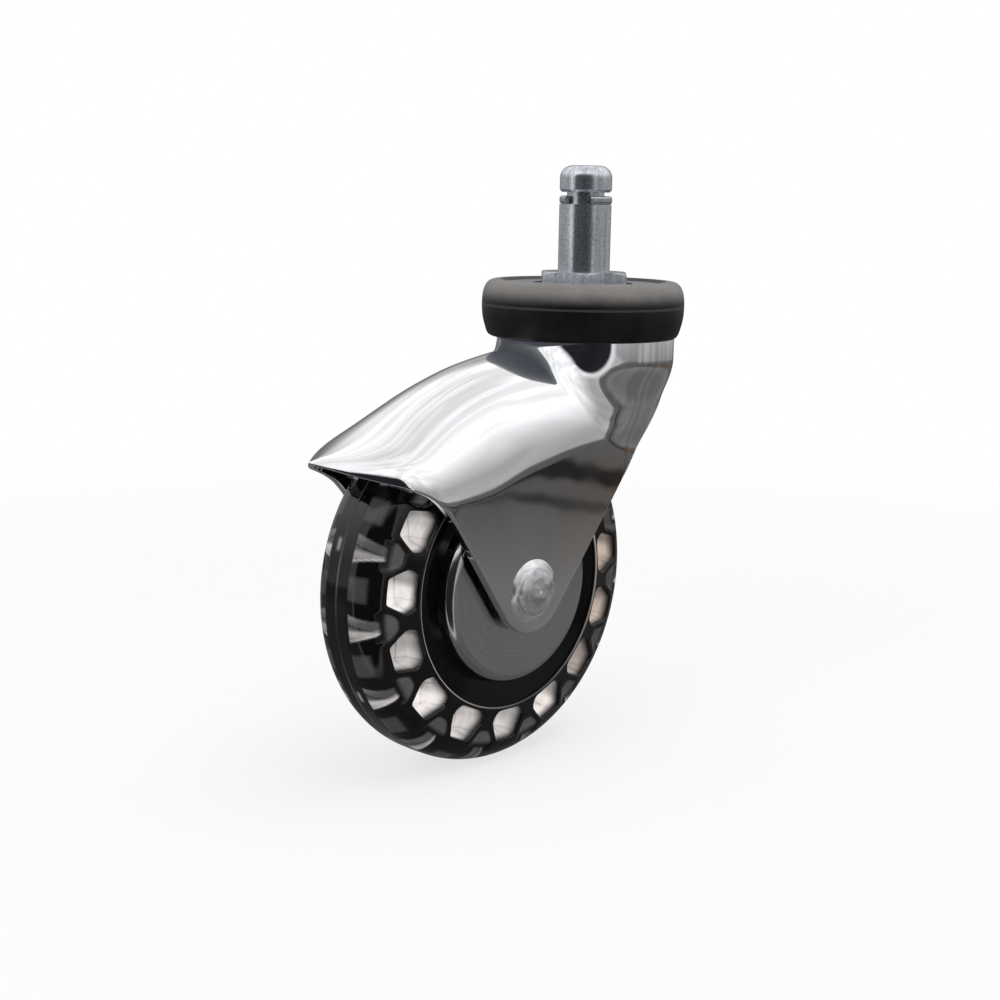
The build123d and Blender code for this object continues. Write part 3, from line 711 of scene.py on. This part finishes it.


# Painted light in the inner pockets: brighter towards the ground side, with the far edges as faint darker lines
def paneTones(radius, theta, about, offInner, side):
    s = tyreSizes
    step = 2 * np.pi / s["count"]
    pick = np.floor((about + step / 2) / step) % s["count"]
    own = np.sin(pick * 2.4 + 1.0 + side)
    span = 29.2
    fall = span * np.sin(theta - offInner) - radius * np.sin(theta)
    across = radius * np.cos(theta) - span * np.cos(theta - offInner)
    tone = 0.58 + 0.16 * own + 0.26 * softStep(fall + 0.5 * own, -1.2, 1.6)
    tone = tone - 0.34 * softStep(-fall + 0.6 * across * own, 0.8, 2.6)
    tone = tone - 0.26 * np.exp(-(((across - 1.5 - 0.4 * own) / 0.16) ** 2))
    return tone - 0.2 * np.exp(-(((fall - 2.2) / 0.14) ** 2))


# Painted light in the outer row, for the light seen through the tread: a folded pane on the shoulder of each outer
# pocket
def foldTones(radius, width, theta, offOuter, own):
    fall = (radius * np.sin(theta - offOuter) - radius * np.sin(theta)) / 3.0
    reach = radius * np.sin(offOuter)
    foldLine = np.abs(reach - (0.30 + 0.1 * own) * (width - 6.2))
    edgeLine = np.abs(np.abs(reach) - (1.3 + 0.30 * (8.5 - width)) + 0.25)
    tone = 0.05 + (0.30 + 0.12 * own) * softStep(fall, 0.0, 0.25) * softStep(-fall, -1.0, -0.2)
    tone = tone + 0.10 * softStep(-fall, 0.3, 0.9)
    tone = tone + 0.3 * softStep(-edgeLine, -0.3, 0.0) * softStep(fall, 0.0, 0.5)
    return tone - 0.1 * softStep(-foldLine, -0.3, 0.0)


# Half of the tyre: x = r cos t, z = r sin t, y = side (half width - pocket depth), with how much painted light each
# point shows (gleam) and how pale that painted light is (tone)
def tyreHalf(side):
    s = tyreSizes
    section = tyreSection()
    radius, width = section[:, 0][:, None], section[:, 1][:, None]
    columns = s["count"] * s["perPocket"]
    theta = np.radians(s["phase"] + np.arange(columns) * 360 / columns)[None]
    step = 2 * np.pi / s["count"]
    about = theta - np.radians(s["phase"])
    offInner = (about + step / 2) % step - step / 2
    offOuter = about % step - step / 2
    inner = pocketDistance(radius * np.cos(offInner), radius * np.sin(offInner), s["inner"], s["corner"])
    outer = pocketDistance(radius * np.cos(offOuter), radius * np.sin(offOuter), s["outer"], s["corner"])
    face = softStep(radius, s["bore"] + 0.3, s["bore"] + 0.35) * softStep(width, 3.5, 5.0)
    depth = s["depth"] * softStep(-inner, -0.12, s["wallRun"]) + s["outerDepth"] * softStep(-outer, -0.5, 0.9)
    depth = depth * face
    r = radius + s["parting"] * softStep(-width, -0.3, -0.05)
    x = axleX / mm + r * np.cos(theta)
    z = axleZ / mm + r * np.sin(theta)
    points = np.stack([x, side * (width - depth), z], -1)

    paneTone = paneTones(radius, theta, about, offInner, side)
    pane = softStep(-inner, 0.06, 0.36) * face
    own = np.sin((np.floor(about / step) % s["count"]) * 1.9 + 2.0 * side)
    foldTone = foldTones(radius, width, theta, offOuter, own)
    reach = radius * np.sin(offOuter)
    onShoulder = softStep(width, 3.2, 3.5) * softStep(-width, -8.7, -8.2) * softStep(radius, 31.0, 32.4)
    folded = softStep(1.3 + 0.30 * (8.5 - width) - np.abs(reach), -0.15, 0.3) * onShoulder

    # Painted light as well: dim panes between each two, a strip under some treads, the pockets' backs, a bright line
    # along the lip and a faint one along the parting line
    beside = radius * np.sin(offInner)
    dim = softStep(2.3 - np.abs(beside), -0.3, 0.3) * softStep(width, 3.0, 3.4)
    dim = dim * softStep(-width, -7.2, -6.4) * softStep(radius, 33.4, 34.2)
    strip = softStep(1.3 - np.abs(reach), -0.3, 0.5) * softStep(width, 0.6, 0.9)
    strip = strip * softStep(-width, -2.0, -1.5) * (radius > 36) * (own > 0.1)
    back = softStep(-outer, 0.0, 0.5) * softStep(-radius, -33.4, -32.0) * face
    lipLine = softStep(-np.abs(radius - s["bore"] - 0.2), -0.2, -0.05) * (width > 9)
    lipLine = lipLine * (0.3 + 0.25 * np.sin(theta * 2 + 1))
    parting = softStep(-width, -0.32, -0.1) * (0.14 + 0.1 * np.sin(theta * 9))

    gleam = np.maximum.reduce([pane, folded, 0.75 * dim, 0.8 * strip, 0.3 * back, lipLine, parting])
    tone = np.where(dim > 0.02, 0.03, 0.22 + 0 * inner)
    tone = np.where(pane > 0.01, paneTone, np.where(folded > 0.02, foldTone, tone))
    tone = np.where((lipLine > 0.02) & (pane < 0.01), 0.8, tone)
    return points, np.clip(gleam, 0, 1), np.clip(tone, 0, 1)


for side, halfName in ((-1, "tyreNear"), (1, "tyreFar")):
    tyrePoints, gleam, tone = tyreHalf(side)
    tyreRows, tyreColumns = tyrePoints.shape[:2]
    faces = gridFaces(tyreRows, tyreColumns)[:, ::side]
    tyreMaterial = materials["tyre_clear"]
    tyre = newMesh(halfName, tyrePoints.reshape(-1, 3) * mm, faces, "wheel_body", tyreMaterial)
    for name, values in (("gleam", gleam), ("tone", tone)):
        points = tyre.data.attributes.new(name, "FLOAT", "POINT").data
        points.foreach_set("value", values.astype(np.float32).ravel())
    sharpenRows(tyre, tyreColumns, (0, tyreRows - 1))
    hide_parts("tyre")
print("tyre halves", tyrePoints.shape)

# Stage: pale floor under the wheel, and a studio all round
stageLook = {
    "floor": -0.0994,
    "size": 8.0,
    "pale": (0.9, 0.9, 0.9),
    "keep": 0.72,  # share of white at the wheel, where the shadow falls
    "clearFrom": (0.12, 0.45),  # distances between which the floor turns white
}


def makeFloor():
    look = stageLook
    bpy.ops.mesh.primitive_plane_add(size=look["size"], location=(0, 0, look["floor"]))
    floor = bpy.context.object
    floor.name = "floor"
    made, tree, shader, place = newMaterial("floorPale", Roughness=0.9)
    shader.inputs["Base Color"].default_value = (*look["pale"], 1)
    glow = addNode(tree, "ShaderNodeEmission", Strength=1.0)
    path = tree.nodes.new("ShaderNodeLightPath").outputs
    distance = addNode(tree, "ShaderNodeVectorMath", operation="LENGTH")
    tree.links.new(place, distance.inputs[0])
    far = mapped(tree, distance.outputs["Value"], *look["clearFrom"], look["keep"], 1.0, True)
    seen = maths(tree, "MAXIMUM", path["Is Camera Ray"], path["Is Transmission Ray"])
    shine = product(tree, path["Is Glossy Ray"], 0.25)
    share = maths(tree, "MAXIMUM", product(tree, seen, far), shine)
    blend = addNode(tree, "ShaderNodeMixShader", i0=share, i1=shader.outputs[0], i2=glow.outputs[0])
    tree.links.new(blend.outputs[0], tree.nodes["Material Output"].inputs[0])
    floor.data.materials.append(made)
    floor.visible_glossy = False


studioLook = {
    # height of the direction (-1 to 1) and the grey that the metal mirrors there
    "heights": [
        (-1.0, 0.10),
        (-0.35, 0.15),
        (-0.245, 0.19),
        (-0.21, 0.15),
        (-0.18, 0.11),
        (-0.105, 0.125),
        (-0.08, 0.45),
        (0.0, 0.42),
        (0.10, 0.45),
        (0.2, 0.62),
        (0.33, 0.9),
        (0.5, 1.1),
        (0.75, 1.2),
        (1.0, 0.9),
    ],
    "brown": (1.0, 0.72, 0.5),
    "dark": (0.016, 0.016, 0.021),
    "light": (0.95, 0.95, 0.96),
    # directions of the dark kit in front, the side light, the hilly horizon and the dim wall behind
    "kit": (-0.84, -0.54, 0.0),
    "side": (-0.93, 0.36, 0.0),
    "hills": (0.62, -0.77, -0.14),
    "behind": (0.72, 0.66, 0.2),
    # dark bands along the horizon: depth below level, where each starts and ends to fade, how dark
    "bands": ((0.180, 0.001, 0.006, 0.6), (0.161, 0.003, 0.008, 0.8)),
}


# Studio by direction: bright above, a ragged dark horizon below a pale strip, a grey ground, dark kit in front
def makeWorld():
    look = studioLook
    world = bpy.data.worlds.new("studio")
    bpy.context.scene.world = world
    world.use_nodes = True
    tree = world.node_tree
    place = tree.nodes.new("ShaderNodeTexCoord").outputs["Generated"]
    parts = addNode(tree, "ShaderNodeSeparateXYZ", Vector=place).outputs
    height = parts[2]

    # One where the direction points at a spot, fading to zero around it
    def towards(direction, start, end):
        made = addNode(tree, "ShaderNodeVectorMath", operation="DOT_PRODUCT")
        tree.links.new(place, made.inputs[0])
        made.inputs[1].default_value = direction
        return mapped(tree, made.outputs["Value"], start, end, 0.0, 1.0, True)

    # Distance in height from a level
    def offLevel(value, level):
        return maths(tree, "ABSOLUTE", maths(tree, "ADD", value, level))

    hilly = noise(tree, stretched(tree, place, (1.0, 1.0, 0.4)), 9.0, 4.0, 0.5)
    hills = mapped(tree, hilly, 0.25, 0.75, -0.026, 0.026)
    beside = towards(look["hills"], 0.95, 0.985)
    ragged = summed(tree, height, product(tree, hills, beside))
    ramp = tree.nodes.new("ShaderNodeValToRGB")
    tree.links.new(mapped(tree, ragged, -1.0, 1.0, 0.0, 1.0), ramp.inputs[0])
    band = ramp.color_ramp.elements
    levels = look["heights"]
    band[0].position, band[0].color = 0.0, (*[levels[0][1]] * 3, 1)
    band[1].position, band[1].color = 1.0, (*[levels[-1][1]] * 3, 1)
    for level, grey in levels[1:-1]:
        band.new((level + 1) / 2).color = (grey, grey, grey, 1)

    soft = noise(tree, stretched(tree, place, (1.0, 3.0, 0.6)), 3.0, 1.2, 0.5)
    streaks = mapped(tree, soft, 0.35, 0.65, 0.82, 1.08, True)
    wavy = noise(tree, stretched(tree, place, (1.0, 1.0, 0.5)), 15.0, 3.0, 0.55)
    crests = summed(tree, height, mapped(tree, wavy, 0.3, 0.7, -0.011, 0.011))
    waves = [mapped(tree, offLevel(crests, at), start, end, dark, 0.0, True) for at, start, end, dark in look["bands"]]
    waves = maths(tree, "SUBTRACT", 1.0, product(tree, maths(tree, "MAXIMUM", *waves), beside))

    blot = product(tree, towards(look["kit"], 0.70, 0.75), mapped(tree, height, 0.46, 0.6, 1.0, 0.0, True))
    rim = product(tree, towards(look["kit"], 0.62, 0.71), mapped(tree, height, 0.55, 0.65, 1.0, 0.0, True))
    lit = product(tree, towards(look["side"], 0.95, 0.985), mapped(tree, height, -0.12, 0.0, 0.0, 1.0, True))
    azimuth = maths(tree, "ARCTAN2", parts[1], parts[0])
    rising = mapped(tree, azimuth, -0.78, -0.66, 0.0, 0.8, True)
    falling = mapped(tree, azimuth, -0.2, 0.4, 1.0, 0.0, True)
    brown = product(tree, rising, falling, mapped(tree, offLevel(height, 0.19), 0.02, 0.05, 1.0, 0.0, True))
    colour = tinted(tree, ramp.outputs[0], mixed(tree, brown, (1.0, 1.0, 1.0), look["brown"]))
    colour = mixed(tree, product(tree, maths(tree, "MAXIMUM", rim, lit), 0.85), colour, look["light"])
    colour = mixed(tree, blot, colour, look["dark"])
    behind = maths(tree, "SUBTRACT", 1.0, product(tree, towards(look["behind"], 0.80, 0.97), 0.55))
    strength = product(tree, product(tree, streaks, behind), waves)

    # The metal mirrors the studio, the rest is lit by a plain pale sky, and the view shows white
    studio = addNode(tree, "ShaderNodeBackground", Color=colour, Strength=strength)
    pale = addNode(tree, "ShaderNodeBackground", Color=(1, 1, 1, 1), Strength=0.6)
    white = addNode(tree, "ShaderNodeBackground", Color=(1, 1, 1, 1), Strength=1.0)
    path = tree.nodes.new("ShaderNodeLightPath").outputs
    mirrors = path["Is Glossy Ray"]
    shown = addNode(tree, "ShaderNodeMixShader", i0=mirrors, i1=pale.outputs[0], i2=studio.outputs[0])
    seen = maths(tree, "MAXIMUM", path["Is Camera Ray"], path["Is Transmission Ray"])
    blend = addNode(tree, "ShaderNodeMixShader", i0=seen, i1=shown.outputs[0], i2=white.outputs[0])
    tree.links.new(blend.outputs[0], tree.nodes["World Output"].inputs[0])


lampSizes = {
    "overhead": {"place": (0.05, -0.15, 0.75), "size": (0.7, 0.5), "power": 3.0},
    "frontBox": {"place": (-0.65, -0.1, 0.45), "size": (0.4, 0.3), "power": 1.0},
}


# Soft box that looks at a point: its back is the direction from the point, its right level
def makeLamp(name, place, aim, size, power):
    lamp = bpy.data.lights.new(name, "AREA")
    lamp.shape = "RECTANGLE"
    lamp.size, lamp.size_y = size
    lamp.energy = power
    made = bpy.data.objects.new(name, lamp)
    bpy.context.scene.collection.objects.link(made)
    back = np.array(place, float) - np.array(aim, float)
    back /= np.linalg.norm(back)
    right = np.cross((0, 0, 1), back)
    right /= np.linalg.norm(right)
    up = np.cross(back, right)
    turn = Matrix((right, up, back)).transposed().to_4x4()
    turn.translation = place
    made.matrix_world = turn
    made.visible_camera = False
    made.visible_glossy = False


middle = (-0.025, 0, -0.04)
makeFloor()
makeWorld()
for lampName, lampSize in lampSizes.items():
    makeLamp(lampName, aim=middle, **lampSize)
scene = bpy.context.scene
scene.view_settings.view_transform = "Standard"
print("stage and lamps set")

# Camera as the photograph was taken, a little above the wheel and turned towards its front
cameraSizes = {
    "place": (-0.25685, -0.23137, 0.01410),
    "axes": ((0.70696, -0.70703, 0.01785), (0.11599, 0.14080, 0.98322), (-0.69768, -0.69302, 0.18155)),
    "sensor": 36.0,
    "lens": 58.05,
    "nearest": 0.01,
}
lens = bpy.data.cameras.new("camera")
lens.sensor_width = cameraSizes["sensor"]
lens.lens = cameraSizes["lens"]
lens.clip_start = cameraSizes["nearest"]
camera = bpy.data.objects.new("camera", lens)
scene.collection.objects.link(camera)
turn = Matrix(cameraSizes["axes"]).transposed().to_4x4()
turn.translation = cameraSizes["place"]
camera.matrix_world = turn
scene.camera = camera
print("camera set")
